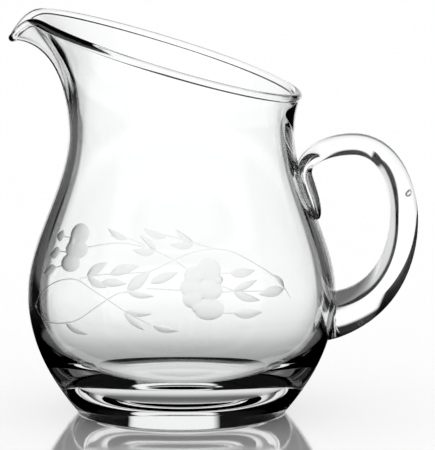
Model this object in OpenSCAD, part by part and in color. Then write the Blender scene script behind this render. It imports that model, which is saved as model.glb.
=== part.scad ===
// Small clear glass cream jug: a blown body with a heavy base and a pulled pouring lip, and a handle drawn
// from a second gather of glass that is pressed onto the body while both are hot.
// Millimetres, +Z up, origin at the centre of the foot, lip towards -X, handle towards +X.

/* [Body] */

// Radius at which the wall would meet the table, before the edge of the foot is rounded
foot_r = 26.4; // [23:0.2:30]
// Widest radius of the belly
belly_r = 39.6; // [36:0.2:44]
// Height of the widest place of the belly
belly_z = 30.8; // [27:0.2:35]
// Narrowest radius of the neck
neck_r = 28.9; // [26:0.1:31]
// Height of the narrowest place of the neck
neck_z = 72.4; // [69:0.2:76]
// Radius that the wall gains per millimetre of height where it leaves the foot
heel_lean = 0.87; // [0.7:0.01:1]
// Radius of the rounded edge of the foot
heel_round = 1.2; // [0.6:0.1:2]

/* [Glass thickness] */

// Thickness of the wall from the neck up to the rim
wall = 2.2; // [1.8:0.1:2.8]
// Thickness of the wall at the belly, from which it thins up to the neck
belly_wall = 2.9; // [2.4:0.1:3.6]
// Thickness of the heavy base under the inside floor
base_t = 6.8; // [5.4:0.2:9]
// Radius of the flat part of the inside floor
floor_r = 15; // [11:0.5:18]
// How far the inside of the bowl runs on flat and upright before it turns, as a share of each way
bowl_turn = 0.55; // [0.45:0.01:0.7]

/* [Rim and lip] */

// Outer radius of the rim on the handle side
rim_r = 30.8; // [29.8:0.1:32.4]
// Height of the middle of the rounded rim over the axis of the jug
rim_z = 91.1; // [89:0.1:94]
// Slope of the rim, which falls from the lip to the handle, in degrees
rim_slope = 17; // [12:0.5:19]
// Extra radius of the rim where the broad throat of the lip is widest
lip_spread = 8.6; // [6:0.1:10]
// Extra radius of the narrow tip of the lip beyond the throat
lip_reach = 4.8; // [3:0.1:6]
// How far the tip of the lip hangs below the slope of the rim
lip_droop = 7.3; // [4:0.1:8]
// Half of the angle that the narrow tip of the lip spans, in degrees
lip_angle = 11; // [9:0.5:14]
// Half of the angle over which the rim hangs at the tip, in degrees
droop_angle = 9.2; // [8:0.1:12]
// Lean of the wall away from upright at the rim on the handle side, in degrees
rim_lean = 13; // [8:1:18]
// Lean of the wall at the rim in the throat of the lip, in degrees
throat_lean = 43; // [30:1:50]
// Lean of the wall at the tip of the lip, in degrees
tip_lean = 90; // [75:1:95]

/* [Handle] */

// Height of the middle of the lower seal
seat_z = 24.9; // [23:0.1:27]
// Clear distance from the belly to the inside of the handle at its furthest place
finger_gap = 13.7; // [12:0.1:18]
// Height of the furthest place of the handle
far_z = 50.8; // [48.6:0.1:53]
// Distance from the furthest place back to the top of the loop
loop_back = 13.1; // [11:0.1:14.2]
// Height of the middle of the handle at the top of the loop
loop_z = 69.5; // [68:0.1:71]
// Height at which the upper seal has reached the wall
seal_z = 60.9; // [60:0.1:62]
// Height of the lowest point of the tail of the upper seal
tail_z = 50; // [48.5:0.1:52]
// Half of the handle's thickness at the lower seal
seat_half = 6.3; // [5.4:0.1:6.8]
// Half of the handle's thickness at its furthest place
far_half = 3.7; // [3:0.1:4.2]
// Half of the handle's thickness at the top of the loop
loop_half = 2.8; // [2.3:0.1:3.3]
// Half of the thickness of the tail of the upper seal
tail_half = 2; // [1.6:0.1:2.4]
// Distance that the middle of the tail stands off the wall
tail_lift = 0.75; // [0.5:0.05:1]
// Half of the handle's width at the lower seal
seat_wide = 6.6; // [5.6:0.1:7.2]
// Half of the handle's width at its furthest place
far_wide = 5.5; // [4.6:0.1:6.2]
// Half of the handle's width at the top of the loop
loop_wide = 3.6; // [3:0.1:4.4]
// Half of the handle's width at the upper seal
seal_wide = 5.2; // [4.4:0.1:5.8]
// Clearance left between the handle and the body at the two seals
seat_gap = 0.02; // [0.01:0.01:0.03]

/* [Sweep of the handle] */

// How far the lower arm heads straight out of the lower seal
arm_out = 11.3; // [9:0.1:13]
// How far below the furthest place the lower arm has turned upright
arm_turn = 11.2; // [9:0.2:13.4]
// How far above the furthest place the handle stays upright
crown_rise = 6.2; // [4.6:0.1:7.6]
// How far the top of the loop runs level on its outer side
crown_run = 10.4; // [8:0.1:12]
// How far the top of the loop runs level on the body's side
shoulder_run = 6; // [4:0.1:8]
// How far above the upper seal the handle has turned to run down the wall
shoulder_drop = 5.9; // [4:0.1:6.4]

/* [Hidden] */

// Angular steps of the drawn lip and of the handle's section
LIP_STEPS = 84;
HANDLE_STEPS = 24;
// Steps up the drawn lip, round the rim, along each stretch of the bowl's outline and of the handle
RISE_STEPS = 12;
RIM_STEPS = 5;
OUTLINE_STEPS = 20;
LOOP_STEPS = 12;
// Degrees by which the steps of the drawn lip crowd together towards its tip
LIP_CROWD = 25;
// How sharply the rim swells from the handle round to the lip
THROAT_POWER = 2.6;
// Shares of its way over which the drawn lip stays upright at the neck and straight at the rim
NECK_HOLD = 0.55;
RIM_HOLD = 0.33;
// How deep the drawn lip laps into the neck's wall, and how far inside both its faces
NECK_LAP = 0.6;
NECK_INSET = 0.08;
// Depth inside the wall at which the handle's first section starts before it is brought to the surface
SEAT_SINK = 5;
// Distance outside the belly at which the handle's sections are clear of the wall
SEAT_LEAD = 0.75;
// Rise of the lower arm while it heads out of the lower seal
ARM_RISE = 3.5;
// Sizes of the rings that close the handle's lower end, as shares of its first section
CAP_RINGS = [0.06, 0.25, 0.5, 0.75];
// Least share of its size to which a section shrinks at the end of the tail
TAIL_END = 0.02;
// Small step used to measure the slope of a surface
EPS = 0.002;

// Direction of the wall where it leaves the foot, and the rounded edge that runs into it
heel_tilt = atan(heel_lean);
heel_z = heel_round * (1 - sin(heel_tilt));
flat_r = body_r(heel_z) - heel_round * cos(heel_tilt);
// Inner radius of the belly
bowl_r = belly_r - belly_wall;
// Furthest place and top of the handle's centre line
far_x = belly_r + finger_gap + far_half;
loop_x = far_x - loop_back;
// Place where the centre line of the upper seal reaches the wall, and the wall's direction there
seal = [body_r(seal_z) + tail_lift, seal_z];
seal_up = unit([body_slope(seal_z), 1]);

// Curves

// Cubic from a to b that leaves them at the given slopes; t runs from 0 to 1
function ease(a, b, slope_a, slope_b, t) =
    a * (1 - 3 * t * t + 2 * t * t * t) + slope_a * t * (1 - t) * (1 - t)
    + b * (3 * t * t - 2 * t * t * t) - slope_b * t * t * (1 - t);

// Point of a cubic Bezier curve
function bezier(a, b, c, d, t) =
    a * pow(1 - t, 3) + b * 3 * t * pow(1 - t, 2) + c * 3 * t * t * (1 - t) + d * pow(t, 3);

function unit(v) = v / norm(v);

// Round part of the body

// Outer radius at height z, and how fast it grows with height
function body_r(z) =
    z <= belly_z
        ? ease(foot_r, belly_r, heel_lean * belly_z, 0, z / belly_z)
        : ease(belly_r, neck_r, 0, 0, min(1, (z - belly_z) / (neck_z - belly_z)));
function body_slope(z) = (body_r(z + EPS) - body_r(z - EPS)) / (2 * EPS);

// Inner surface above the belly: the outer one moved in square to the wall, which thins up to the neck
function wall_at(z) = ease(wall, belly_wall, 0, 0, (neck_z - z) / (neck_z - belly_z));
function inside(z) =
    let (across = unit([1, -body_slope(z)]))
    [body_r(z), z] - wall_at(z) * across;

// Inner surface below the belly, from the floor at 0 to the belly at 1
function bowl(t) = bezier(
    [floor_r, base_t],
    [floor_r + bowl_turn * (bowl_r - floor_r), base_t],
    [bowl_r, belly_z - bowl_turn * (belly_z - base_t)],
    [bowl_r, belly_z],
    t
);

// Heights from a to b in equal steps, the first left out
function heights(a, b) = [for (i = [1 : OUTLINE_STEPS]) a + (b - a) * i / OUTLINE_STEPS];

// Half outline, from the underside up the outside and down the inside
function body_outline() = concat(
    [[0, 0]],
    [for (a = [-90, -75, -60, -heel_tilt]) [flat_r + heel_round * cos(a), heel_round * (1 + sin(a))]],
    [for (z = heights(heel_z, belly_z)) [body_r(z), z]],
    [for (z = heights(belly_z, neck_z)) [body_r(z), z]],
    [for (z = concat(neck_z, heights(neck_z, belly_z))) inside(z)],
    [for (i = [OUTLINE_STEPS - 1 : -1 : 0]) bowl(i / OUTLINE_STEPS)],
    [[0, base_t]]
);

// Drawn lip

// Share of the broad throat of the lip and of its narrow tip at angle q, measured from the handle
function throat(q) = pow((1 - cos(q)) / 2, THROAT_POWER);
function tip(q) = exp(-pow((abs(q) - 180) / lip_angle, 2));
function droop(q) = lip_droop * exp(-pow((abs(q) - 180) / droop_angle, 2));

// Radius and height of the middle of the rounded rim, and the wall's lean there
function lip_r(q) = rim_r - wall / 2 + lip_spread * throat(q) + lip_reach * tip(q);
function lip_z(q) = rim_z - lip_r(q) * cos(q) * tan(rim_slope) - droop(q);
function lip_lean(q) = rim_lean + (throat_lean - rim_lean) * throat(q) + (tip_lean - throat_lean) * tip(q);

// Point of the outside: angle q, and t from the neck at 0 to the rim at 1
function lip_out(q, t) =
    let (lean = lip_lean(q))
    let (low = [neck_r, neck_z])
    let (high = [lip_r(q) + wall / 2 * cos(lean), lip_z(q) - wall / 2 * sin(lean)])
    let (rise = [0, NECK_HOLD * (high[1] - low[1])])
    let (run = RIM_HOLD * norm(high - low) * [sin(lean), cos(lean)])
    let (p = bezier(low, low + rise, high - run, high, t))
    [p[0] * cos(q), p[0] * sin(q), p[1]];

// Directions up that surface and square out of it
function lip_up(q, t) = unit(lip_out(q, t + EPS) - lip_out(q, t - EPS));
function lip_side(q, t) = unit(cross(lip_out(q + 1, t) - lip_out(q - 1, t), lip_up(q, t)));

// Point of ring i: up the outside, round the rim, down the inside
function lip_point(i, q) =
    i <= RISE_STEPS
        ? lip_out(q, i / RISE_STEPS)
        : i < RISE_STEPS + RIM_STEPS
            ? rim_point(180 * (i - RISE_STEPS) / RIM_STEPS, q)
            : let (t = 1 - (i - RISE_STEPS - RIM_STEPS) / RISE_STEPS)
              lip_out(q, t) - wall * lip_side(q, t);

function rim_point(a, q) =
    lip_out(q, 1) - wall / 2 * (1 - cos(a)) * lip_side(q, 1) + wall / 2 * sin(a) * lip_up(q, 1);

function lip_angle_at(j) = let (f = 360 * j / LIP_STEPS - 180) f + LIP_CROWD * sin(f);

// Level ring within the neck's wall, where the drawn lip runs into the round part
function lap_ring(r, z) = [for (j = [0 : LIP_STEPS - 1]) let (q = lip_angle_at(j)) [r * cos(q), r * sin(q), z]];

function lip_rings() = concat(
    [for (z = [neck_z - NECK_LAP, neck_z]) lap_ring(neck_r - NECK_INSET, z)],
    [for (i = [1 : 2 * RISE_STEPS + RIM_STEPS - 1]) [for (j = [0 : LIP_STEPS - 1]) lip_point(i, lip_angle_at(j))]],
    [for (z = [neck_z, neck_z - NECK_LAP]) lap_ring(neck_r - wall + NECK_INSET, z)]
);

// Closed skin over a row of rings, joined end to end into a hoop or capped at both ends
module skin(rings, hoop) {
    n = len(rings[0]);
    last = len(rings) - 1;
    points = [for (r = rings, p = r) p];
    sides = [for (i = [0 : hoop ? last : last - 1], j = [0 : n - 1])
        let (k = (i + 1) % len(rings), m = (j + 1) % n)
        each [[i * n + j, k * n + j, k * n + m], [i * n + j, k * n + m, i * n + m]]];
    caps = hoop ? [] : [[for (j = [0 : n - 1]) j], [for (j = [n - 1 : -1 : 0]) last * n + j]];
    polyhedron(points = points, faces = concat(sides, caps), convexity = 8);
}

module body() {
    color([0.86, 0.92, 0.94, 0.45])
    union() {
        rotate_extrude($fn = 120)
            polygon(body_outline());
        skin(lip_rings(), true);
    }
}

// Handle

// Centre line of each stretch, with the half thickness and half width along it; t runs from 0 to 1
function lower_arm(t) = bezier(
    [belly_r + SEAT_LEAD, seat_z],
    [belly_r + arm_out, seat_z + ARM_RISE],
    [far_x, far_z - arm_turn],
    [far_x, far_z],
    t
);
function lower_half(t) = ease(seat_half, far_half, 3 * (far_half - seat_half), (far_half - seat_half) / 3, t);
function lower_wide(t) = ease(seat_wide, far_wide, 2.4 * (far_wide - seat_wide), 0, t);

function upper_arm(t) = bezier(
    [far_x, far_z],
    [far_x, far_z + crown_rise],
    [loop_x + crown_run, loop_z],
    [loop_x, loop_z],
    t
);
function upper_half(t) = ease(far_half, loop_half, (far_half - seat_half) / 3, 0, t);
function upper_wide(t) = ease(far_wide, loop_wide, 0, 0, t);

// From the top of the loop to the wall, where the handle turns to follow it
function shoulder(t) = bezier(
    [loop_x, loop_z],
    [loop_x - shoulder_run, loop_z],
    seal + shoulder_drop * seal_up,
    seal,
    t
);
function shoulder_half(t) = ease(loop_half, tail_half, 0, tail_half - loop_half, t);
function shoulder_wide(t) = ease(loop_wide, seal_wide, 0, 0, t);

// Down the wall to the rounded end of the tail
function tail(t) =
    let (z = seal_z + (tail_z - seal_z) * t)
    [body_r(z) + tail_lift * sqrt(1 - t * t), z];
function tail_thick(t) = tail_half * max(TAIL_END, sqrt(1 - pow(t, 3)));
function tail_wide(t) = seal_wide * max(TAIL_END, sqrt(1 - t * t * (1 + t) / 2));

// Stations along the whole centre line: place, half thickness and half width
function stations() = let (steps = [for (i = [1 : LOOP_STEPS]) i / LOOP_STEPS]) concat(
    [[[body_r(seat_z) - SEAT_SINK, seat_z], seat_half, seat_wide]],
    [for (t = concat(0, steps)) [lower_arm(t), lower_half(t), lower_wide(t)]],
    [for (t = steps) [upper_arm(t), upper_half(t), upper_wide(t)]],
    [for (t = steps) [shoulder(t), shoulder_half(t), shoulder_wide(t)]],
    [for (s = steps) let (t = sin(90 * s)) [tail(t), tail_thick(t), tail_wide(t)]]
);

// A point that would lie within the body is moved out onto its surface
function seated(p) =
    let (r = norm([p[0], p[1]]), s = body_r(p[2]) + seat_gap)
    r < s ? [p[0] * s / r, p[1] * s / r, p[2]] : p;

// Section at station i, shrunk by k for the rings that close the lower end
function section(st, i, k) =
    let (here = st[i][0])
    let (along = unit(st[min(i + 1, len(st) - 1)][0] - st[max(i - 1, 0)][0]))
    let (out = [along[1], -along[0]])
    [for (j = [0 : HANDLE_STEPS - 1])
        let (a = 360 * j / HANDLE_STEPS)
        let (u = k * st[i][1] * cos(a), v = k * st[i][2] * sin(a))
        seated([here[0] + u * out[0], v, here[1] + u * out[1]])];

module handle() {
    st = stations();
    color([0.86, 0.92, 0.94, 0.45])
    skin(concat(
        [for (k = CAP_RINGS) section(st, 0, k)],
        [for (i = [0 : len(st) - 1]) section(st, i, 1)]
    ), false);
}

body();
handle();
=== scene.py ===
"""Small clear glass cream jug with a wheel-cut spray: the dressed model, its studio and its camera."""

import logging
import math
from dataclasses import dataclass, field
from enum import Enum

import bmesh
import bpy
import numpy as np
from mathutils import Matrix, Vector
from mathutils.geometry import delaunay_2d_cdt


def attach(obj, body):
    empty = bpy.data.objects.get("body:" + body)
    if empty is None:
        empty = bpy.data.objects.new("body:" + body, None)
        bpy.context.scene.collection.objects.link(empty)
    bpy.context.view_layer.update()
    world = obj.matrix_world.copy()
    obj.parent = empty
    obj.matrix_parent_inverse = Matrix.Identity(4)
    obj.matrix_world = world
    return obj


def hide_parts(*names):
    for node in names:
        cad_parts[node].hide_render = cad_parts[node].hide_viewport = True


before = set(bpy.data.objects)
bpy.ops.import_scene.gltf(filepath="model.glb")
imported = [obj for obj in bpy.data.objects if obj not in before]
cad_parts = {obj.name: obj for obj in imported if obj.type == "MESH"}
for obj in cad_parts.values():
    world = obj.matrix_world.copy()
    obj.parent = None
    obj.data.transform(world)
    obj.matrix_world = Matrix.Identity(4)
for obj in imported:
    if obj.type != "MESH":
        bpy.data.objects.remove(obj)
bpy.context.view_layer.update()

LOG = logging.getLogger("cream_jug")

MM = 0.001
TINY = 1e-6
FRONT_TURN = 90
WHITE = (1, 1, 1, 1)
BODY_NODE = "body"
HANDLE_NODE = "handle"
ROOT_BODY = "root"

Pair = tuple[float, float]
Triple = tuple[float, float, float]
Colour = tuple[float, float, float, float]
Row = tuple[float, ...]
Pairs = tuple[Pair, ...]
Array = np.ndarray
Node = bpy.types.Node
Plug = bpy.types.NodeSocket


class Socket(Enum):
    """Kinds of socket that the shader groups have."""

    VALUE = "NodeSocketFloat"
    VECTOR = "NodeSocketVector"


# Curves


def ease(a: float, b: float, slope_a: float, slope_b: float, t: Array) -> Array:
    """Follow a cubic from a to b that leaves them at the given slopes.

    Args:
        a: Value at the start.
        b: Value at the end.
        slope_a: Slope at the start.
        slope_b: Slope at the end.
        t: Places along the cubic, from 0 to 1.

    Returns:
        The cubic's values at t.
    """
    return (
        a * (1 - 3 * t**2 + 2 * t**3)
        + slope_a * t * (1 - t) ** 2
        + b * (3 * t**2 - 2 * t**3)
        - slope_b * t**2 * (1 - t)
    )


def bezier(a: Array, b: Array, c: Array, d: Array, t: Array) -> Array:
    """Give points of a cubic curve between two points with handles.

    Args:
        a: First point.
        b: First handle.
        c: Second handle.
        d: Last point.
        t: Places along the curve, from 0 to 1, shaped to spread over the points.

    Returns:
        The points at t.
    """
    return a * (1 - t) ** 3 + b * 3 * t * (1 - t) ** 2 + c * 3 * t**2 * (1 - t) + d * t**3


def unit(v: Array) -> Array:
    """Scale vectors to length one along their last axis."""
    return v / np.linalg.norm(v, axis=-1, keepdims=True)


# Form of the glass


@dataclass(frozen=True)
class BodyForm:
    """Outside and inside of the blown body, in millimetres and degrees."""

    foot_r: float = 26.4
    belly_r: float = 39.6
    belly_z: float = 30.8
    neck_r: float = 28.9
    neck_z: float = 72.4
    heel_lean: float = 0.87
    heel_round: float = 1.2
    wall: float = 2.2
    belly_wall: float = 2.9
    base_t: float = 6.7
    floor_r: float = 10.0
    floor_turn: float = 0.74
    bowl_turn: float = 0.5
    rim_r: float = 30.8
    rim_z: float = 91.1
    rim_slope: float = 17.0
    lip_spread: float = 8.6
    lip_reach: float = 4.8
    lip_droop: float = 7.3
    lip_angle: float = 11.0
    droop_angle: float = 9.2
    rim_lean: float = 13.0
    throat_lean: float = 43.0
    tip_lean: float = 90.0
    throat_power: float = 2.6
    neck_hold: float = 0.55
    rim_hold: float = 0.33
    bead_drop: float = 0.85
    bead_inside: float = 0.7
    probe: float = 0.002
    turn_probe: float = 1.0

    def radius(self, z: Array) -> Array:
        """Give the outer radius of the round part at heights z."""
        low = np.clip(z / self.belly_z, 0, 1)
        high = np.clip((z - self.belly_z) / (self.neck_z - self.belly_z), 0, 1)
        under = ease(self.foot_r, self.belly_r, self.heel_lean * self.belly_z, 0, low)
        over = ease(self.belly_r, self.neck_r, 0, 0, high)
        return np.where(z <= self.belly_z, under, over)

    def slope(self, z: Array) -> Array:
        """Give how fast the outer radius grows with height."""
        return (self.radius(z + self.probe) - self.radius(z - self.probe)) / (2 * self.probe)

    def heel(self, steps: int) -> Array:
        """Give radius and height round the edge of the foot, from the flat up to the wall."""
        tilt = math.atan(self.heel_lean)
        top = self.heel_round * (1 - math.sin(tilt))
        flat = float(self.radius(np.array(top))) - self.heel_round * math.cos(tilt)
        a = np.linspace(-math.pi / 2, -tilt, steps)
        return np.stack([flat + self.heel_round * np.cos(a), self.heel_round * (1 + np.sin(a))], -1)

    def inside(self, z: Array) -> Array:
        """Give radius and height of the inner wall above the belly."""
        across = unit(np.stack([np.ones_like(z), -self.slope(z)], -1))
        thick = ease(self.wall, self.belly_wall, 0, 0, (self.neck_z - z) / (self.neck_z - self.belly_z))
        return np.stack([self.radius(z), z], -1) - thick[:, None] * across

    def bowl(self, t: Array) -> Array:
        """Give radius and height of the inner surface from the floor at 0 to the belly at 1."""
        wide = self.belly_r - self.belly_wall
        start = np.array([self.floor_r, self.base_t])
        end = np.array([wide, self.belly_z])
        out = np.array([self.floor_r + self.floor_turn * (wide - self.floor_r), self.base_t])
        up = np.array([wide, self.belly_z - self.bowl_turn * (self.belly_z - self.base_t)])
        return bezier(start, out, up, end, t[:, None])

    def throat(self, q: Array) -> Array:
        """Give the share of the broad throat of the lip at angles q from the handle."""
        return ((1 - np.cos(np.radians(q))) / 2) ** self.throat_power

    def tip(self, q: Array, spread: float) -> Array:
        """Give the share of the narrow tip of the lip at angles q from the handle."""
        turn = np.abs((q + 180) % 360 - 180)
        return np.exp(-(((turn - 180) / spread) ** 2))

    def lip_outside(self, q: Array, t: Array) -> Array:
        """Give points of the outside of the drawn lip.

        Args:
            q: Angles from the handle, in degrees.
            t: Places from the neck at 0 to the rim at 1.

        Returns:
            Points with a last axis of x, y and z.
        """
        throat = self.throat(q)
        tip = self.tip(q, self.lip_angle)
        turn = np.radians(q)
        rim_r = self.rim_r - self.wall / 2 + self.lip_spread * throat + self.lip_reach * tip
        fall = rim_r * np.cos(turn) * math.tan(math.radians(self.rim_slope))
        rim_z = self.rim_z - fall - self.lip_droop * self.tip(q, self.droop_angle)
        degrees = self.rim_lean + (self.throat_lean - self.rim_lean) * throat
        lean = np.radians(degrees + (self.tip_lean - self.throat_lean) * tip)
        low = np.stack([np.full_like(rim_r, self.neck_r), np.full_like(rim_r, self.neck_z)], -1)
        high = np.stack([rim_r + self.wall / 2 * np.cos(lean), rim_z - self.wall / 2 * np.sin(lean)], -1)
        rise = np.stack([np.zeros_like(rim_r), self.neck_hold * (high - low)[..., 1]], -1)
        length = self.rim_hold * np.linalg.norm(high - low, axis=-1, keepdims=True)
        run = length * np.stack([np.sin(lean), np.cos(lean)], -1)
        p = bezier(low, low + rise, high - run, high, t[..., None])
        return np.stack([p[..., 0] * np.cos(turn), p[..., 0] * np.sin(turn), p[..., 1]], -1)

    def lip_run(self, q: Array) -> Array:
        """Give the millimetres of the lip that one unit of t covers at the rim, at angles q."""
        top = np.ones_like(q)
        step = self.lip_outside(q, top) - self.lip_outside(q, top - self.probe)
        return np.linalg.norm(step, axis=-1) / self.probe

    def pinch(self, s: Array, run: Array) -> Array:
        """Give how far the wall draws in below the round bead of the rim.

        Args:
            s: Millimetres below the rim.
            run: Millimetres from the rim down to the neck.

        Returns:
            Millimetres by which the wall lies inside the bead.
        """
        r = self.wall / 2
        near = np.minimum(s, self.bead_drop)
        fade = np.clip((s - self.bead_drop) / (run - self.bead_drop), 0, 1)
        return (r - np.sqrt(r**2 - near**2)) * ease(1, 0, 0, 0, fade)

    def lip_up(self, q: Array, t: Array) -> Array:
        """Give the direction up the drawn lip."""
        return unit(self.lip_outside(q, t + self.probe) - self.lip_outside(q, t - self.probe))

    def lip_side(self, q: Array, t: Array) -> Array:
        """Give the direction square out of the drawn lip."""
        step = self.turn_probe
        round_it = self.lip_outside(q + step, t) - self.lip_outside(q - step, t)
        return unit(np.cross(round_it, self.lip_up(q, t)))


# Wheel-cut spray

FLAT_R = BodyForm.belly_r


def flat(place: Pair) -> Array:
    """Unroll a place given as degrees from the front and height into flat millimetres."""
    return np.array([math.radians(place[0]) * FLAT_R, place[1]])


@dataclass(frozen=True)
class Leaf:
    """A leaf cut by one pass of the wheel: pointed at both ends, fuller on one side of its axis."""

    base: Pair
    tip: Pair
    left: float = 1.4
    right: float = 0.6
    depth: float = 0.2
    steps: int = 14
    fullness: float = 0.8
    fill_rows: Row = (-0.5, 0.01, 0.35, 0.7)

    def spread(self, s: Array) -> Array:
        """Give the share of the leaf's width at places s from base to tip."""
        return np.sin(math.pi * np.clip(s, 0, 1) ** self.fullness)

    def axes(self) -> tuple[Array, Array, float]:
        """Give the unit vectors along and across the leaf, and its length."""
        along = flat(self.tip) - flat(self.base)
        length = float(np.linalg.norm(along))
        along = along / length
        return along, np.array([-along[1], along[0]]), length

    def row(self, s: Array, h: float) -> Array:
        """Give flat points at places s along the leaf and h across it, where h runs from -1 to 1."""
        along, across, length = self.axes()
        wide = self.spread(s) * (h * (self.left if h > 0 else self.right))
        return flat(self.base) + s[:, None] * length * along + wide[:, None] * across

    def outline(self) -> Array:
        """Give the closed outline of the cut."""
        s = np.linspace(0, 1, self.steps)
        return np.concatenate([self.row(s, -1), self.row(s[-2:0:-1], 1)])

    def fill(self) -> Array:
        """Give the points that carry the depth inside the outline."""
        s = np.linspace(0, 1, self.steps)[1:-1]
        return np.concatenate([self.row(s, h) for h in self.fill_rows])

    def sunk(self, p: Array) -> Array:
        """Give the depth of the cut at flat points p."""
        along, across, length = self.axes()
        s = (p - flat(self.base)) @ along / length
        c = (p - flat(self.base)) @ across
        inside = (s > 0) & (s < 1)
        width = np.maximum(self.spread(s), TINY)
        h = np.where(c > 0, c / (self.left * width), c / (self.right * width))
        return np.where(inside, self.depth * np.sqrt(width) * np.clip(1 - h**2, 0, 1), 0)


@dataclass(frozen=True)
class Petal:
    """A round petal ground with the edge of a flat wheel."""

    middle: Pair
    wide: float
    high: float
    depth: float = 0.26
    steps: int = 32
    fill_rings: Row = (0.85, 0.6, 0.3)
    roundness: float = 0.5

    def ring(self, share: float) -> Array:
        """Give a ring of flat points at a share of the petal's size."""
        a = np.linspace(0, 2 * math.pi, self.steps, endpoint=False)
        return flat(self.middle) + share * np.stack([self.wide * np.cos(a), self.high * np.sin(a)], -1)

    def outline(self) -> Array:
        """Give the closed outline of the cut."""
        return self.ring(1.0)

    def fill(self) -> Array:
        """Give the points that carry the depth inside the outline."""
        return np.concatenate([self.ring(share) for share in self.fill_rings] + [flat(self.middle)[None]])

    def sunk(self, p: Array) -> Array:
        """Give the depth of the cut at flat points p."""
        d = (p - flat(self.middle)) / np.array([self.wide, self.high])
        return self.depth * np.clip(1 - (d**2).sum(-1), 0, 1) ** self.roundness


@dataclass(frozen=True)
class Stem:
    """A stem cut as one fine line through a row of places."""

    places: Pairs
    half: float = 0.15
    depth: float = 0.1
    pitch: float = 0.7
    bend_share: float = 6.0
    end_taper: float = 12.0
    end_share: float = 0.3

    def line(self) -> Array:
        """Give flat points along a smooth line through the places."""
        p = np.array([flat(place) for place in self.places])
        p = np.concatenate([2 * p[:1] - p[1:2], p, 2 * p[-1:] - p[-2:-1]])
        parts = []
        for a, b, c, d in zip(p[:-3], p[1:-2], p[2:-1], p[3:]):
            n = max(2, int(np.linalg.norm(c - b) / self.pitch))
            t = np.linspace(0, 1, n, endpoint=False)[:, None]
            parts.append(bezier(b, b + (c - a) / self.bend_share, c - (d - b) / self.bend_share, c, t))
        return np.concatenate(parts + [p[-2:-1]])

    def outline(self) -> Array:
        """Give the closed outline of the cut, which narrows at both ends."""
        line = self.line()
        along = unit(np.gradient(line, axis=0))
        across = np.stack([-along[:, 1], along[:, 0]], -1)
        s = np.linspace(0, 1, len(line))
        share = np.clip(np.minimum(s, 1 - s) * self.end_taper + self.end_share, 0, 1)
        side = (self.half * share)[:, None] * across
        return np.concatenate([line - side, (line + side)[::-1]])

    def fill(self) -> Array:
        """Give the points that carry the depth inside the outline."""
        return self.line()[1:-1]

    def sunk(self, p: Array) -> Array:
        """Give the depth of the cut at flat points p."""
        line = self.line()
        gap = np.min(np.linalg.norm(p[:, None] - line[None], axis=-1), axis=1)
        return self.depth * np.clip(1 - gap / self.half, 0, 1)


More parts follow.
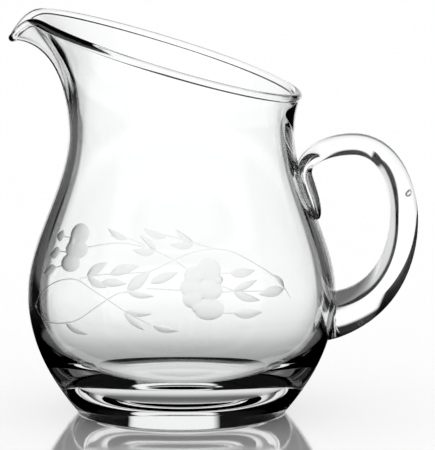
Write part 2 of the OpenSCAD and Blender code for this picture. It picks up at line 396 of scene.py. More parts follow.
# The cuts of the flowering spray, in degrees from the front and millimetres of height
SPRAY: list[Leaf | Petal | Stem] = [
    Petal((-47.3, 50.0), 3.9, 2.6),
    Petal((-46.9, 46.3), 4.5, 2.4),
    Petal((-48.4, 42.8), 3.8, 2.2),
    Petal((-50.4, 48.2), 1.5, 1.3),
    Petal((10.9, 43.0), 3.3, 2.8),
    Petal((10.9, 38.1), 3.3, 2.6),
    Petal((10.4, 33.3), 3.9, 2.7),
    Petal((5.0, 41.6), 2.6, 2.3),
    Petal((3.8, 38.8), 2.8, 2.4),
    Petal((4.4, 36.0), 2.6, 2.3),
    Petal((14.3, 40.5), 1.2, 1.1),
    Petal((6.0, 33.8), 1.4, 1.3),
    Stem(((-45, 46.4), (-40.7, 47.2), (-32.6, 48.4), (-26.2, 49), (-19.9, 48.9), (-14.2, 48.4))),
    Stem(((-14, 48.6), (-9.1, 47.3), (-2.7, 45.5), (4, 42.6))),
    Stem(((-31, 50.6), (-22, 50.2), (-14.5, 48.8))),
    Stem(((-70.5, 29.7), (-63.9, 34), (-54.6, 37.5), (-46.1, 39), (-40.7, 38.7), (-35.5, 37.3),
          (-28.2, 35.2), (-21.5, 32.8), (-16.1, 31), (-10, 29.3))),
    Stem(((-70.5, 29.7), (-62.3, 27), (-53.5, 27.1), (-48, 27.7), (-40.5, 29.3), (-31.4, 33.5),
          (-25, 36.4), (-20.3, 37.6))),
    Stem(((-13.5, 38.5), (-7, 38.4), (3, 38.1))),
    Stem(((-41.9, 39.3), (-38.2, 40.1), (-29.3, 41.3), (-19.3, 42), (-11.9, 42.7), (-5.7, 44.5),
          (0.5, 46.4), (6.9, 47.6), (13.5, 48), (20.1, 47.3), (26.9, 45.1), (35, 41.7), (39.8, 39),
          (44.8, 34.3))),
    Stem(((13.5, 48), (4.6, 49.8), (-4.5, 51.2), (-8, 51.5))),
    Stem(((14, 42.1), (19.6, 42))),
    Stem(((14, 39.3), (20.2, 37.7))),
    Stem(((14, 37.5), (20, 37.5), (31, 37.1))),
    Stem(((15, 32.3), (20, 32.1))),
    Stem(((-58.4, 48.6), (-51, 48.8))),
    Stem(((-58.2, 45), (-51, 45.2))),
    Stem(((-57.6, 40.8), (-51, 42))),
    Leaf((-22.5, 50.2), (-32.8, 52.2), 1.3, 0.3),
    Leaf((-9.8, 47.6), (-17.5, 51.2), 0.4, 1.0),
    Leaf((-10.4, 47.4), (-20, 47.6), 1.3, 0.6),
    Leaf((-20.3, 32.6), (-10.2, 32.2), 0.4, 1.2),
    Leaf((-21.1, 32.3), (-13.2, 27.8), 0.6, 1.1),
    Leaf((-10.6, 29.4), (-0.6, 27.9), 0.6, 1.3),
    Leaf((-47.6, 27.5), (-36.6, 25.6), 0.7, 1.2),
    Leaf((-20.4, 37.8), (-11.4, 42.6), 1.6, 1.6),
    Leaf((-11.6, 39.8), (-0.6, 42.6), 1.2, 1.1),
    Leaf((-20.2, 37.5), (-9.6, 36.6), 0.4, 1.2),
    Leaf((-38.4, 40.3), (-29.8, 44.2), 1.4, 1.2),
    Leaf((-37.8, 40.2), (-28.4, 38), 0.5, 1.4),
    Leaf((-31.6, 39), (-20.2, 39.4), 1.2, 0.9),
    Leaf((-28.2, 41.3), (-16.2, 43.8), 1.6, 1.0),
    Leaf((-6, 51), (-16.5, 52.9), 1.4, 0.4),
    Leaf((5.2, 49.7), (-2.4, 52.9), 1.2, 0.3),
    Leaf((5.4, 49.2), (-4.6, 49.2), 1.2, 0.5),
    Leaf((41.8, 37.1), (37.4, 40.8), 0.3, 1.2),
    Leaf((41.7, 36.9), (29.6, 36.3), 1.4, 1.3),
    Leaf((18.8, 42), (29.8, 42.2), 0.9, 1.5),
    Leaf((19.8, 37.7), (30.2, 39.9), 0.9, 1.0),
    Leaf((19.8, 37.5), (30.6, 34.7), 0.6, 1.5),
    Leaf((19.4, 32.2), (31.4, 31.8), 0.9, 1.6),
    Leaf((-56.6, 48.8), (-63, 48.4), 1.4, 1.4),
    Leaf((-56.6, 45), (-63.5, 43.4), 1.4, 1.6),
    Leaf((-56.4, 41), (-65, 38.6), 1.2, 1.4),
]


# Shader nodes


@dataclass
class Wiring:
    """Adds nodes to a node tree and links them."""

    tree: bpy.types.NodeTree

    def feed(self, socket: Plug, source: object) -> None:
        """Link a socket to another one, or set its constant value."""
        if isinstance(source, Plug):
            self.tree.links.new(source, socket)
        else:
            socket.default_value = source

    def add(self, kind: str, feeds: dict | None = None, **settings: object) -> Node:
        """Add a node, set its properties and fill its inputs.

        Args:
            kind: Blender's name of the node type.
            feeds: Sockets or values for the inputs, by name or number.
            settings: Properties by name.

        Returns:
            The new node.
        """
        node = self.tree.nodes.new(kind)
        for name, value in settings.items():
            setattr(node, name, value)
        for key, source in (feeds or {}).items():
            self.feed(node.inputs[key], source)
        return node

    def calc(self, operation: str, *terms: object) -> Plug:
        """Add a math node.

        Args:
            operation: Blender's name of the operation.
            terms: Sockets or numbers that it works on.

        Returns:
            The node's value.
        """
        return self.add("ShaderNodeMath", dict(enumerate(terms)), operation=operation).outputs[0]

    def ramp(self, value: Plug, span: Pair, start: float, end: float) -> Plug:
        """Add a smooth change from start to end while a value crosses a span.

        Args:
            value: Socket to read.
            span: Values at which the change starts and ends.
            start: Result before the span.
            end: Result after it.

        Returns:
            The node's value.
        """
        feeds = {"Value": value, "From Min": span[0], "From Max": span[1], "To Min": start, "To Max": end}
        return self.add("ShaderNodeMapRange", feeds, interpolation_type="SMOOTHSTEP").outputs["Result"]

    def steps(self, value: Plug, stops: list[Pair]) -> Plug:
        """Add a row of levels that follow a value.

        Args:
            value: Socket to read, from 0 to 1.
            stops: Places from 0 to 1 with the level at each.

        Returns:
            The level.
        """
        node = self.add("ShaderNodeValToRGB", {0: value})
        elements = node.color_ramp.elements
        while len(elements) > 1:
            elements.remove(elements[-1])
        for i, (place, level) in enumerate(stops):
            element = elements[0] if i == 0 else elements.new(place)
            element.position = place
            element.color = (level, level, level, 1)
        return node.outputs["Color"]

    def choose(self, mask: Plug, no: Plug, yes: Plug) -> Plug:
        """Add a mix of two values by a mask."""
        return self.add("ShaderNodeMix", {0: mask, 2: no, 3: yes}).outputs[0]

    def blend(self, mask: Plug, no: Node, yes: Node) -> Node:
        """Add a mix of two shaders by a mask."""
        return self.add("ShaderNodeMixShader", {0: mask, 1: no.outputs[0], 2: yes.outputs[0]})


@dataclass
class Group:
    """A shader node group with named inputs and outputs."""

    name: str
    inputs: dict[str, tuple[Socket, object]]
    outputs: dict[str, Socket]
    wiring: Wiring = field(init=False)
    start: Node = field(init=False)
    end: Node = field(init=False)

    def __post_init__(self) -> None:
        """Make the empty group with its sockets."""
        tree = bpy.data.node_groups.new(self.name, "ShaderNodeTree")
        for name, (kind, value) in self.inputs.items():
            socket = tree.interface.new_socket(name=name, in_out="INPUT", socket_type=kind.value)
            socket.default_value = value
        for name, kind in self.outputs.items():
            tree.interface.new_socket(name=name, in_out="OUTPUT", socket_type=kind.value)
        self.wiring = Wiring(tree)
        self.start = self.wiring.add("NodeGroupInput")
        self.end = self.wiring.add("NodeGroupOutput")

    def place(self, wire: Wiring, **values: object) -> Node:
        """Place the group in a tree.

        Args:
            wire: Wiring of the tree that takes the group.
            values: Sockets or values for the group's inputs, by name.

        Returns:
            The group's node.
        """
        return wire.add("ShaderNodeGroup", values, node_tree=self.wiring.tree)


def make_striae(detail: float = 1.5, roughness: float = 0.4) -> Group:
    """Build the faint waves that working by hand leaves in hot glass, as a height.

    Args:
        detail: Detail of the noise.
        roughness: Roughness of the noise.

    Returns:
        The group.
    """
    group = Group(
        "hand_worked_waves",
        {"Place": (Socket.VECTOR, (0, 0, 0)), "Pitch": (Socket.VALUE, 60.0), "Draw": (Socket.VALUE, 0.4)},
        {"Height": Socket.VALUE},
    )
    wire, given = group.wiring, group.start.outputs
    stretch = wire.add("ShaderNodeCombineXYZ", {0: 1.0, 1: 1.0, 2: given["Draw"]})
    both = {0: given["Place"], 1: stretch.outputs[0]}
    drawn = wire.add("ShaderNodeVectorMath", both, operation="MULTIPLY")
    feeds = {"Vector": drawn.outputs[0], "Scale": given["Pitch"], "Detail": detail, "Roughness": roughness}
    noise = wire.add("ShaderNodeTexNoise", feeds)
    wire.feed(group.end.inputs["Height"], noise.outputs["Fac"])
    return group


# Finishes


@dataclass(frozen=True)
class GlassFinish:
    """Glass, polished or ground, with faint waves from the working."""

    name: str
    colour: Colour = (0.985, 0.99, 0.99, 1.0)
    roughness: float = 0.0
    ior: float = 1.5
    wave_pitch: float = 60.0
    wave_draw: float = 0.4
    wave_depth: float = 0.00012
    wave_strength: float = 0.06

    def make(self, waves: Group) -> bpy.types.Material:
        """Build the material.

        Args:
            waves: Group that gives the waves of hand-worked glass.

        Returns:
            The material.
        """
        material = bpy.data.materials.new(self.name)
        material.use_nodes = True
        wire = Wiring(material.node_tree)
        place = wire.add("ShaderNodeTexCoord")
        height = waves.place(wire, Place=place.outputs["Object"], Pitch=self.wave_pitch, Draw=self.wave_draw)
        relief = {"Strength": self.wave_strength, "Distance": self.wave_depth, "Height": height.outputs[0]}
        bump = wire.add("ShaderNodeBump", relief)
        looks = {
            "Base Color": self.colour,
            "Roughness": self.roughness,
            "IOR": self.ior,
            "Transmission Weight": 1.0,
            "Normal": bump.outputs["Normal"],
        }
        shader = material.node_tree.nodes["Principled BSDF"]
        for name, value in looks.items():
            wire.feed(shader.inputs[name], value)
        return material


# Pieces


def grid_faces(rows: int, columns: int) -> Array:
    """List the quads of rows of points that each close into a ring.

    Args:
        rows: Number of rings.
        columns: Points in a ring.

    Returns:
        Four point numbers for each quad, ring by ring.
    """
    i, j = np.meshgrid(np.arange(rows - 1), np.arange(columns), indexing="ij")
    k = (j + 1) % columns
    quads = np.stack([i * columns + j, i * columns + k, (i + 1) * columns + k, (i + 1) * columns + j], -1)
    return quads.reshape(-1, 4)


def make_object(name: str, points: Array, faces: list) -> bpy.types.Object:
    """Make a smooth mesh object from points in millimetres.

    Args:
        name: Name of the object and its mesh.
        points: Points in millimetres.
        faces: Point numbers of each face.

    Returns:
        The object, linked into the scene.
    """
    mesh = bpy.data.meshes.new(name)
    mesh.from_pydata((points * MM).tolist(), [], faces)
    mesh.shade_smooth()
    piece = bpy.data.objects.new(name, mesh)
    bpy.context.scene.collection.objects.link(piece)
    return piece


@dataclass
class GlassBody:
    """The blown body with its spray of cuts."""

    form: BodyForm = field(default_factory=BodyForm)
    columns: int = 288
    flat_rows: int = 5
    heel_rows: int = 7
    wall_rows: int = 84
    lip_rows: int = 34
    rim_rows: int = 12
    bead_rows: Row = (2.6, 2.0, 1.6, 1.3, 1.1, 0.98, 0.9, 0.82, 0.74, 0.64, 0.5, 0.35, 0.18, 0.0)
    bowl_rows: int = 44
    spray_turns: Pair = (-84.0, 51.0)
    spray_heights: Pair = (23.5, 56.0)
    clear_of_cuts: float = 0.35
    gap_chunks: int = 40
    merge: float = 0.002
    piece: bpy.types.Object | None = None

    def angles(self) -> Array:
        """Give the angles of the columns from the handle, in degrees."""
        return np.arange(self.columns) * 360 / self.columns

    def round_ring(self, r: float, z: float) -> Array:
        """Give one level ring of points."""
        a = np.radians(self.angles())
        return np.stack([r * np.cos(a), r * np.sin(a), np.full_like(a, z)], -1)

    def wall_heights(self) -> Array:
        """Give the heights of the rows of the outer wall."""
        return np.linspace(self.form.heel(self.heel_rows)[-1, 1], self.form.neck_z, self.wall_rows)

    def rings(self) -> tuple[Array, int]:
        """List all rings from the underside up the outside and down the inside.

        Returns:
            The rings, and the number of the first ring of the outer wall.
        """
        form = self.form
        q = self.angles()
        rings = []
        heel = form.heel(self.heel_rows)
        for share in np.linspace(0, 1, self.flat_rows + 1)[1:-1]:
            rings.append(self.round_ring(heel[0, 0] * share, 0.0))
        rings += [self.round_ring(r, z) for r, z in heel[:-1]]
        first = len(rings)
        z = self.wall_heights()
        rings += [self.round_ring(r, h) for r, h in zip(form.radius(z), z)]
        run = form.lip_run(q)
        stop = 1 - self.bead_rows[0] / run
        rise = [share * stop for share in np.linspace(0, 1, self.lip_rows)[1:-1]]
        rise += [1 - below / run for below in self.bead_rows]
        draws = [form.pinch((1 - t) * run, run)[:, None] for t in rise]
        rings += [form.lip_outside(q, t) - d * form.lip_side(q, t) for t, d in zip(rise, draws)]
        top = np.ones_like(q)
        edge, side, up = form.lip_outside(q, top), form.lip_side(q, top), form.lip_up(q, top)
        for a in np.linspace(0, math.pi, self.rim_rows + 1)[1:-1]:
            rings.append(edge - form.wall / 2 * (1 - math.cos(a)) * side + form.wall / 2 * math.sin(a) * up)
        for t, d in zip(rise[::-1], draws[::-1]):
            rings.append(form.lip_outside(q, t) - (form.wall - form.bead_inside * d) * form.lip_side(q, t))
        down = np.linspace(form.neck_z, form.belly_z, self.bowl_rows)
        rings += [self.round_ring(r, h) for r, h in form.inside(down)]
        rings += [self.round_ring(r, h) for r, h in form.bowl(np.linspace(1, 0, self.bowl_rows))[1:]]
        for share in np.linspace(1, 0, self.flat_rows + 1)[1:-1]:
            rings.append(self.round_ring(form.floor_r * share, form.base_t))
        return np.array(rings), first

    def window(self, first: int) -> tuple[int, int, int, int]:
        """Give the rows and columns between which the spray is cut."""
        low, high = np.searchsorted(self.wall_heights(), self.spray_heights).tolist()
        step = 360 / self.columns
        left, right = [round((turn - FRONT_TURN) % 360 / step) for turn in self.spray_turns]
        return first + low, first + high, left, right

    def cut_panel(self, heights: Array, turns: Array) -> tuple[Array, list, Array]:
        """Lay the cuts into the part of the wall that carries the spray.

        Args:
            heights: Heights of the panel's rows.
            turns: Angles of its columns from the front, in degrees.

        Returns:
            Points, triangles and a mark for each triangle that is ground.
        """
        u = np.radians(turns) * FLAT_R
        grid_u, grid_v = np.meshgrid(u, heights)
        border = np.ones_like(grid_u, dtype=bool)
        border[1:-1, 1:-1] = False
        grid = np.stack([grid_u, grid_v], -1)
        points = []
        loops = []
        count = 0
        for cut in SPRAY:
            outline, fill = cut.outline(), cut.fill()
            loops.append(list(range(count, count + len(outline))))
            points += [outline, fill]
            count += len(outline) + len(fill)
        cut_points = np.concatenate(points)
        inner = grid[~border]
        gap = np.full(len(inner), np.inf)
        for chunk in np.array_split(cut_points, self.gap_chunks):
            gap = np.minimum(gap, np.linalg.norm(inner[:, None] - chunk[None], axis=-1).min(1))
        flat_points = np.concatenate([cut_points, grid[border], inner[gap > self.clear_of_cuts]])
        result = delaunay_2d_cdt([Vector(p) for p in flat_points.tolist()], [], loops, 0, TINY, True)
        verts = np.array([v[:] for v in result[0]])
        ground = np.array([len(source) > 0 for source in result[5]])
        depth = np.max([cut.sunk(verts) for cut in SPRAY], axis=0)
        turn, z = verts[:, 0] / FLAT_R, verts[:, 1]
        r = self.form.radius(z)
        place = np.stack([r * np.sin(turn), -r * np.cos(turn), z], -1)
        normal = unit(np.stack([np.sin(turn), -np.cos(turn), -self.form.slope(z)], -1))
        return place - depth[:, None] * normal, result[2], ground

    def build(self) -> None:
        """Build the mesh: rings of quads, with the panel that carries the spray laid in."""
        rings, first = self.rings()
        count, columns = rings.shape[0], self.columns
        low, high, left, right = self.window(first)
        quads = grid_faces(count, columns)
        row, column = np.divmod(np.arange(len(quads)), columns)
        inside = (row >= low) & (row < high) & (column >= left) & (column < right)
        faces = quads[~inside].tolist()
        points = rings.reshape(-1, 3)
        foot, floor = len(points), len(points) + 1
        points = np.concatenate([points, [[0, 0, 0], [0, 0, self.form.base_t]]])
        last = (count - 1) * columns
        for j in range(columns):
            k = (j + 1) % columns
            faces.append((foot, k, j))
            faces.append((floor, last + j, last + k))
        heights = rings[low:high + 1, 0, 2]
        turns = (np.arange(left, right + 1) * 360 / columns + FRONT_TURN) % 360
        turns = np.where(turns > 180, turns - 360, turns)
        panel, triangles, ground = self.cut_panel(heights, turns)
        offset = len(points)
        plain = len(faces)
        faces += [tuple(offset + i for i in t) for t in triangles]
        self.piece = make_object("jug_body", np.concatenate([points, panel]), faces)
        self.finish_mesh(plain, ground)

    def finish_mesh(self, plain: int, ground: Array) -> None:
        """Join the panel to the wall, and give the cuts their own slot and crisp edges.

        Args:
            plain: Number of faces before the panel's.
            ground: Mark for each of the panel's triangles that is ground.
        """
        mesh = self.piece.data
        slots = np.concatenate([np.zeros(plain, dtype=np.int32), ground.astype(np.int32)])
        mesh.polygons.foreach_set("material_index", slots)
        work = bmesh.new()
        work.from_mesh(mesh)
        bmesh.ops.remove_doubles(work, verts=work.verts, dist=self.merge * MM)
        loose = [v for v in work.verts if not v.link_faces]
        bmesh.ops.delete(work, geom=loose, context="VERTS")
        for edge in work.edges:
            kinds = {face.material_index for face in edge.link_faces}
            edge.smooth = len(kinds) == 1
        work.to_mesh(mesh)
        work.free()
        LOG.info("body mesh: %d faces, %d of them cut", len(mesh.polygons), int(ground.sum()))

    def dress(self, clear: bpy.types.Material, cut: bpy.types.Material) -> None:
        """Give the piece its finishes and tie it to the frame.

        Args:
            clear: Finish of the polished glass.
            cut: Finish of the ground cuts.
        """
        self.piece.data.materials.append(clear)
        self.piece.data.materials.append(cut)
        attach(self.piece, ROOT_BODY)
        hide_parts(BODY_NODE)


@dataclass
class LoopHandle:
    """The drawn handle, pressed onto the body at its lower pad and along its tail."""

    form: BodyForm = field(default_factory=BodyForm)
    seat_z: float = 24.9
    finger_gap: float = 13.7
    far_z: float = 50.8
    loop_back: float = 13.1
    loop_z: float = 69.5
    seal_z: float = 60.9
    tail_z: float = 50.0
    seat_half: float = 6.3
    far_half: float = 3.7
    loop_half: float = 2.8
    tail_half: float = 2.0
    tail_lift: float = 0.75
    seat_wide: float = 6.6
    far_wide: float = 5.5
    loop_wide: float = 3.6
    seal_wide: float = 5.2
    arm_out: float = 12.3
    arm_turn: float = 11.2
    crown_rise: float = 6.2
    crown_run: float = 10.4
    shoulder_run: float = 6.0
    shoulder_drop: float = 5.9
    seat_sink: float = 5.0
    seat_lead: float = -2.0
    arm_rise: float = 2.7
    arm_taper: float = 2.4
    wide_taper: float = 2.4
    join_share: float = 3.0
    tail_end: float = 0.02
    cap_rings: Row = (0.06, 0.25, 0.5, 0.75)
    fuse_depth: float = 0.15
    steps: int = 28
    section_points: int = 64
    bubble_place: Triple = (57.0, 0.0, 56.6)
    bubble_size: Triple = (0.4, 0.5, 0.85)
    bubble_rings: int = 14
    bubble_points: int = 24
    merge: float = 0.001
    piece: bpy.types.Object | None = None

    def stations(self) -> tuple[Array, Array, Array]:
        """List the stations along the centre line.

        Returns:
            Places in the x and z plane, half thicknesses and half widths.
        """
        form = self.form
        far_x = form.belly_r + self.finger_gap + self.far_half
        loop_x = far_x - self.loop_back
        t = np.linspace(0, 1, self.steps + 1)
        column = t[:, None]
        thin = self.far_half - self.seat_half
        far = np.array([far_x, self.far_z])
        arm = bezier(
            np.array([form.belly_r + self.seat_lead, self.seat_z]),
            np.array([form.belly_r + self.arm_out, self.seat_z + self.arm_rise]),
            np.array([far_x, self.far_z - self.arm_turn]),
            far,
            column,
        )
        join = thin / self.join_share
        arm_half = ease(self.seat_half, self.far_half, self.arm_taper * thin, join, t)
        narrow = self.wide_taper * (self.far_wide - self.seat_wide)
        arm_wide = ease(self.seat_wide, self.far_wide, narrow, 0, t)
        loop = np.array([loop_x, self.loop_z])
        crown = bezier(
            far,
            np.array([far_x, self.far_z + self.crown_rise]),
            np.array([loop_x + self.crown_run, self.loop_z]),
            loop,
            column,
        )
        crown_half = ease(self.far_half, self.loop_half, join, 0, t)
        crown_wide = ease(self.far_wide, self.loop_wide, 0, 0, t)
        wall_z = np.array(self.seal_z)
        seal = np.array([float(form.radius(wall_z)) + self.tail_lift, self.seal_z])
        seal_up = unit(np.array([float(form.slope(wall_z)), 1.0]))
        shoulder = bezier(
            loop,
            loop - np.array([self.shoulder_run, 0]),
            seal + self.shoulder_drop * seal_up,
            seal,
            column,
        )
        shoulder_half = ease(self.loop_half, self.tail_half, 0, self.tail_half - self.loop_half, t)
        shoulder_wide = ease(self.loop_wide, self.seal_wide, 0, 0, t)
        s = np.sin(t * math.pi / 2)
        tail_z = self.seal_z + (self.tail_z - self.seal_z) * s
        tail = np.stack([form.radius(tail_z) + self.tail_lift * np.sqrt(1 - s**2), tail_z], -1)
        tail_half = self.tail_half * np.maximum(self.tail_end, np.sqrt(1 - s**3))
        tail_wide = self.seal_wide * np.maximum(self.tail_end, np.sqrt(1 - s**2 * (1 + s) / 2))
        start = np.array([[float(form.radius(np.array(self.seat_z))) - self.seat_sink, self.seat_z]])
        rows = (
            (start, arm, crown, shoulder, tail),
            ([self.seat_half], arm_half, crown_half, shoulder_half, tail_half),
            ([self.seat_wide], arm_wide, crown_wide, shoulder_wide, tail_wide),
        )
        return tuple(np.concatenate([a, b, c[1:], d[1:], e[1:]]) for a, b, c, d, e in rows)

    def seated(self, p: Array) -> Array:
        """Move points that lie deep in the body out to just below its surface."""
        r = np.linalg.norm(p[..., :2], axis=-1)
        stop = self.form.radius(p[..., 2]) - self.fuse_depth
        grow = np.where(r < stop, stop / np.maximum(r, TINY), 1.0)
        return np.stack([p[..., 0] * grow, p[..., 1] * grow, p[..., 2]], -1)

    def rings(self) -> Array:
        """List the sections from the lower end to the end of the tail."""
        places, halves, wides = self.stations()
        ahead = np.concatenate([places[1:], places[-1:]])
        behind = np.concatenate([places[:1], places[:-1]])
        along = unit(ahead - behind)
        out = np.stack([along[:, 1], -along[:, 0]], -1)
        a = np.linspace(0, 2 * math.pi, self.section_points, endpoint=False)
        order = [(0, k) for k in self.cap_rings] + [(i, 1.0) for i in range(len(places))]
        rings = []
        for i, k in order:
            u = k * halves[i] * np.cos(a)
            v = k * wides[i] * np.sin(a)
            ring = np.stack([places[i, 0] + u * out[i, 0], v, places[i, 1] + u * out[i, 1]], -1)
            rings.append(self.seated(ring))
        return np.array(rings)

    def bubble(self) -> tuple[Array, list[list[int]]]:
        """Give points and inward faces of the air bubble in the loop."""
        lat = np.linspace(0, math.pi, self.bubble_rings)
        lon = np.linspace(0, 2 * math.pi, self.bubble_points, endpoint=False)
        axes = (np.sin(lat), np.cos(lon)), (np.sin(lat), np.sin(lon)), (np.cos(lat), np.ones_like(lon))
        ball = np.stack([np.outer(down, along) for down, along in axes], -1)
        points = np.array(self.bubble_place) + ball * np.array(self.bubble_size)
        return points.reshape(-1, 3), grid_faces(self.bubble_rings, self.bubble_points).tolist()

    def build(self) -> None:
        """Build the mesh: the drawn loop with both ends closed, and the bubble within it."""
        rings = self.rings()
        count, n = rings.shape[:2]
        faces = grid_faces(count, n).tolist()
        faces.append(tuple(range(n - 1, -1, -1)))
        faces.append(tuple(range((count - 1) * n, count * n)))
        bubble_points, bubble_faces = self.bubble()
        offset = count * n
        faces += [tuple(offset + i for i in f) for f in bubble_faces]
        self.piece = make_object("jug_handle", np.concatenate([rings.reshape(-1, 3), bubble_points]), faces)
        work = bmesh.new()
        work.from_mesh(self.piece.data)
        bmesh.ops.remove_doubles(work, verts=work.verts, dist=self.merge * MM)
        work.to_mesh(self.piece.data)
        work.free()

    def dress(self, clear: bpy.types.Material) -> None:
        """Give the piece its finish and tie it to the frame."""
        self.piece.data.materials.append(clear)
        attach(self.piece, ROOT_BODY)
        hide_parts(HANDLE_NODE)


# Studio


def both_sides(*stops: Pair) -> Pairs:
    """Repeat the stops of one side of the view on its other side."""
    return tuple((-place, level) for place, level in stops[::-1]) + stops


@dataclass
class Studio:
    """A bright white field behind a pale glossy table, with the light shut off at the sides."""

    target: Triple = (0.0092, 0.0, 0.0485)
    distance: float = 1.45
    elevation: float = 9.1
    focal_px: float = 5650.0
    frame_px: float = 450.0
    sensor: float = 36.0
    clip_end: float = 100.0
    floor_half: float = 6.0
    floor_drop: float = 0.00003
    table_colour: Colour = (0.98, 0.98, 0.98, 1.0)
    table_roughness: float = 0.06
    gloss_power: float = 1.75
    facing_blend: float = 0.5
    turns_in_glass: int = 6
    hollow_depth: float = 3.5
    prism_depth: float = 0.5
    # Painted light on the table: bright where rays meet it steeply, and a pale disc under the foot.
    steep_span: Pair = (0.60, 0.65)
    under_span: Pair = (0.06, 0.065)
    # Painted shade: mirrored rays see the table dark within this distance of the jug.
    mirror_span: Pair = (0.06, 0.11)
    far_span: Pair = (0.6, 0.9)
    far_lean: float = 3.2
    # Painted light: a faint glow far out on the table for rays turned in the glass.
    painted_far_light_span: Pair = (0.25, 0.45)
    painted_far_light: float = 0.14
    hollow_ceiling: Pair = (0.35, 0.5)
    solid_ceiling: Pair = (0.16, 0.28)
    prism_ceiling: Pair = (0.66, 0.74)
    ring_ceiling: Pair = (0.25, 0.32)
    ceiling: float = 0.03
    field_pivot: float = -0.062
    hollow_pivot: float = -0.162
    shade_reach: float = 0.2
    # Levels by direction in degrees: the world's light, and the painted light that the table glows with, for
    # each way the glass sends a ray.
    hollow_stops: Pairs = both_sides((12.6, 1.1), (13.6, 0.16), (46, 0.1), (52, 1.1), (180, 1.1))
    solid_stops: Pairs = (
        (-180, 1.0), (-88, 1.0), (-74, 0.005), (-14, 0.005), (-12.5, 1.08), (15.5, 1.08),
        (16.5, 0.005), (21, 0.005), (23, 0.75), (42, 0.9), (180, 0.9),
    )
    far_stops: Pairs = (
        (-180, 1.0), (-76, 1.0), (-66, 0.005), (-14, 0.005), (-12.5, 1.08), (11, 1.08),
        (12.5, 0.005), (20, 0.005), (23, 0.75), (42, 0.9), (180, 0.9),
    )
    prism_stops: Pairs = (
        (-180, 1.0), (-115, 1.0), (-105, 0.005), (-13.5, 0.005), (-12, 1.0),
        (18, 1.0), (19.5, 0.005), (105, 0.005), (115, 1.0), (180, 1.0),
    )
    mirror_stops: Pairs = both_sides((19, 1.0), (20.5, 0.005), (58, 0.005), (66, 1.0), (180, 1.0))
    # Painted shadow of the jug on the table: the glow's level by distance from the jug's axis in
    # millimetres, for rays turned in the glass and for the rest.
    turned_shade_stops: Pairs = (
        (0, 0.6), (14.5, 0.6), (17, 0.24), (19, 0.14), (21, 0.16), (23, 0.55), (24.5, 0.85),
        (30, 0.85), (37, 0.2), (46, 0.12), (72, 0.14), (90, 0.36), (110, 0.9), (200, 1.0),
    )
    shade_stops: Pairs = (
        (0, 0.75), (13, 0.75), (21, 0.55), (25, 0.4), (40, 0.5),
        (60, 0.72), (100, 0.88), (150, 0.97), (200, 1.0),
    )

    def camera(self) -> None:
        """Make the camera at the photograph's viewing angle."""
        data = bpy.data.cameras.new("camera")
        data.sensor_width = self.sensor
        data.lens = self.focal_px / self.frame_px * self.sensor
        data.clip_end = self.clip_end
        camera = bpy.data.objects.new("camera", data)
        tilt = math.radians(self.elevation)
        back = Vector((0, -math.cos(tilt), math.sin(tilt))) * self.distance
        camera.location = Vector(self.target) + back
        camera.rotation_euler = (math.pi / 2 - tilt, 0, 0)
        bpy.context.scene.collection.objects.link(camera)
        bpy.context.scene.camera = camera

    def bright_field(self) -> Group:
        """Build the light levels round the jug, by direction, for each way the glass sends a ray."""
        rows = {
            "Hollow": self.hollow_stops,
            "Solid": self.solid_stops,
            "Far": self.far_stops,
            "Prism": self.prism_stops,
            "Mirror": self.mirror_stops,
        }
        inputs = {"Away": (Socket.VECTOR, (0, 0, 0))}
        group = Group("bright_field", inputs, {name: Socket.VALUE for name in rows})
        wire = group.wiring
        split = wire.add("ShaderNodeSeparateXYZ", {0: group.start.outputs["Away"]})
        angle = wire.calc("ARCTAN2", split.outputs[0], split.outputs[1])
        share = wire.calc("MULTIPLY_ADD", angle, 0.5 / math.pi, 0.5)
        for output, stops in rows.items():
            level = wire.steps(share, [(degrees / 360 + 0.5, level) for degrees, level in stops])
            wire.feed(group.end.inputs[output], level)
        return group

    def glass_rays(self, wire: Wiring) -> dict[str, Plug]:
        """Mark the rays that come by the glass.

        Args:
            wire: Wiring of the tree that takes the nodes.

        Returns:
            Marks of all such rays, of those through the hollow of the jug, of those turned within the glass
            and of those mirrored off it.
        """
        path = wire.add("ShaderNodeLightPath").outputs
        mirror = wire.calc("MULTIPLY", path["Is Reflection Ray"], path["Is Singular Ray"])
        glass = wire.calc("MAXIMUM", path["Is Transmission Ray"], mirror)
        hollow = wire.calc("GREATER_THAN", path["Transmission Depth"], self.hollow_depth)
        prism = wire.calc("GREATER_THAN", path["Glossy Depth"], self.prism_depth)
        return {"glass": glass, "hollow": hollow, "prism": prism, "mirror": mirror}

    def world(self, field_group: Group) -> None:
        """Make the white surroundings, with dark sides for the rays that the glass bends."""
        world = bpy.data.worlds.new("studio")
        world.use_nodes = True
        world.node_tree.nodes.clear()
        wire = Wiring(world.node_tree)
        direction = wire.add("ShaderNodeTexCoord").outputs["Generated"]
        split = wire.add("ShaderNodeSeparateXYZ", {0: direction}).outputs
        height = split[2]
        onward = wire.calc("MULTIPLY_ADD", height, self.far_lean, split[1])
        leaned = wire.add("ShaderNodeCombineXYZ", {0: split[0], 1: onward})
        around = field_group.place(wire, Away=direction).outputs
        beyond = field_group.place(wire, Away=leaned.outputs[0]).outputs
        spans = (self.hollow_ceiling, self.solid_ceiling, self.prism_ceiling, self.ring_ceiling)
        above, high, base, ring = [wire.ramp(height, span, 1.0, self.ceiling) for span in spans]
        rays = self.glass_rays(wire)
        through = wire.calc("MULTIPLY", around["Hollow"], above)
        solid = wire.calc("MULTIPLY", beyond["Far"], high)
        roof = wire.choose(rays["hollow"], base, ring)
        turned = wire.calc("MULTIPLY", around["Prism"], roof)
        off = wire.calc("MULTIPLY", around["Mirror"], above)
        level = wire.choose(rays["hollow"], solid, through)
        level = wire.choose(rays["prism"], level, turned)
        level = wire.choose(rays["mirror"], level, off)
        open_field = wire.add("ShaderNodeBackground", {"Color": WHITE})
        glass_field = wire.add("ShaderNodeBackground", {"Color": WHITE, "Strength": level})
        mix = wire.blend(rays["glass"], open_field, glass_field)
        wire.add("ShaderNodeOutputWorld", {"Surface": mix.outputs[0]})
        bpy.context.scene.world = world

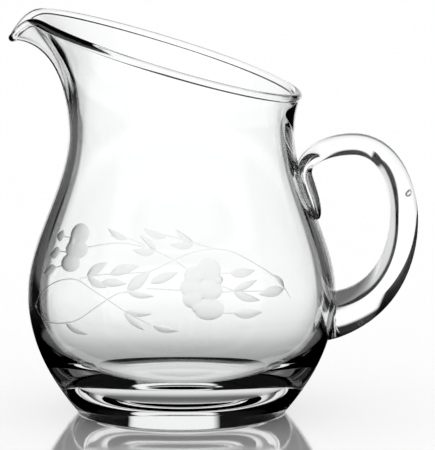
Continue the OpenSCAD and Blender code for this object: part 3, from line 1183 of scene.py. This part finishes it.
    def floor(self, field_group: Group) -> None:
        """Make the pale glossy table, which glows with painted light and painted shade for the rays that
        come by the glass.
        """
        mesh = bpy.data.meshes.new("table")
        h = self.floor_half
        z = -self.floor_drop
        mesh.from_pydata([(-h, -h, z), (h, -h, z), (h, h, z), (-h, h, z)], [], [(0, 1, 2, 3)])
        table = bpy.data.objects.new("table", mesh)
        bpy.context.scene.collection.objects.link(table)
        material = bpy.data.materials.new("white_table")
        material.use_nodes = True
        material.node_tree.nodes.clear()
        wire = Wiring(material.node_tree)
        diffuse = wire.add("ShaderNodeBsdfDiffuse", {"Color": self.table_colour})
        gloss = wire.add("ShaderNodeBsdfGlossy", {"Color": WHITE, "Roughness": self.table_roughness})
        facing = wire.add("ShaderNodeLayerWeight", {"Blend": self.facing_blend}).outputs["Facing"]
        share = wire.calc("POWER", facing, self.gloss_power)
        shiny = wire.blend(share, diffuse, gloss)
        # For rays through or off the glass the table is an emission: painted light in the pattern of the
        # bright field, taken about three pivots.
        position = wire.add("ShaderNodeNewGeometry").outputs["Position"]
        fields = []
        for pivot in (self.field_pivot, self.hollow_pivot, 0.0):
            apart = {0: position, 1: (0, pivot, 0)}
            moved = wire.add("ShaderNodeVectorMath", apart, operation="SUBTRACT")
            fields.append(field_group.place(wire, Away=moved.outputs[0]).outputs)
        around, inside, straight = fields
        through = wire.calc("MAXIMUM", inside["Hollow"], straight["Hollow"])
        away = wire.add("ShaderNodeVectorMath", {0: position}, operation="LENGTH").outputs["Value"]
        rays = self.glass_rays(wire)
        # Painted light: the table glows bright for steep rays and in a pale disc under the foot.
        steep = wire.ramp(facing, self.steep_span, 1.0, 0.0)
        under = wire.ramp(away, self.under_span, 1.0, 0.0)
        # Painted shade: rays mirrored off the glass see the table dark close to the jug.
        clear_of_jug = wire.ramp(away, self.mirror_span, 0.0, 1.0)
        off = wire.calc("MULTIPLY", around["Mirror"], clear_of_jug)
        far = wire.ramp(away, self.far_span, 0.0, 1.0)
        # Painted light: a faint glow far out on the table for rays turned in the glass.
        painted_far_light = wire.ramp(away, self.painted_far_light_span, 0.0, self.painted_far_light)
        turned = wire.calc("MAXIMUM", around["Prism"], painted_far_light)
        side = wire.choose(far, around["Solid"], around["Far"])
        side = wire.choose(rays["hollow"], side, through)
        side = wire.choose(rays["prism"], side, turned)
        side = wire.calc("MAXIMUM", side, wire.calc("MAXIMUM", steep, under))
        side = wire.choose(rays["mirror"], side, off)
        # Painted shadow of the jug: the table's glow darkens towards its axis.
        reach = wire.calc("DIVIDE", away, self.shade_reach)
        shades = []
        for stops in (self.shade_stops, self.turned_shade_stops):
            places = [(mm * MM / self.shade_reach, level) for mm, level in stops]
            shades.append(wire.steps(reach, places))
        shade = wire.choose(rays["hollow"], shades[1], shades[0])
        shade = wire.choose(rays["prism"], shade, shades[1])
        # The painted glow: painted light times the painted shadow of the jug.
        painted_glow = wire.add("ShaderNodeEmission", {"Strength": wire.calc("MULTIPLY", side, shade)})
        mix = wire.blend(rays["glass"], shiny, painted_glow)
        wire.add("ShaderNodeOutputMaterial", {"Surface": mix.outputs[0]})
        mesh.materials.append(material)

    def build(self) -> None:
        """Make the camera, the surroundings and the table."""
        self.camera()
        levels = self.bright_field()
        self.world(levels)
        self.floor(levels)
        bpy.context.scene.view_settings.view_transform = "Standard"
        bpy.context.scene.cycles.glossy_bounces = self.turns_in_glass


def main() -> None:
    """Build the studio and the jug's two pieces, and report each."""
    logging.basicConfig(level=logging.INFO, format="%(name)s: %(message)s")
    Studio().build()
    waves = make_striae()
    clear = GlassFinish("clear_body_glass").make(waves)
    drawn = GlassFinish("clear_handle_glass", wave_pitch=90.0, wave_draw=1.0).make(waves)
    # Painted shade: the grey base colour darkens the ground cuts beyond what the rough glass scatters from
    # the dark sides.
    painted_shade_grey = (0.9, 0.905, 0.905, 1.0)
    cut = GlassFinish("ground_glass", painted_shade_grey, roughness=0.42, wave_pitch=700.0, wave_strength=0.3)
    ground = cut.make(waves)
    body = GlassBody()
    body.build()
    body.dress(clear, ground)
    LOG.info("built %s", body.piece.name)
    handle = LoopHandle()
    handle.build()
    handle.dress(drawn)
    LOG.info("built %s", handle.piece.name)


if __name__ == "__main__":
    main()
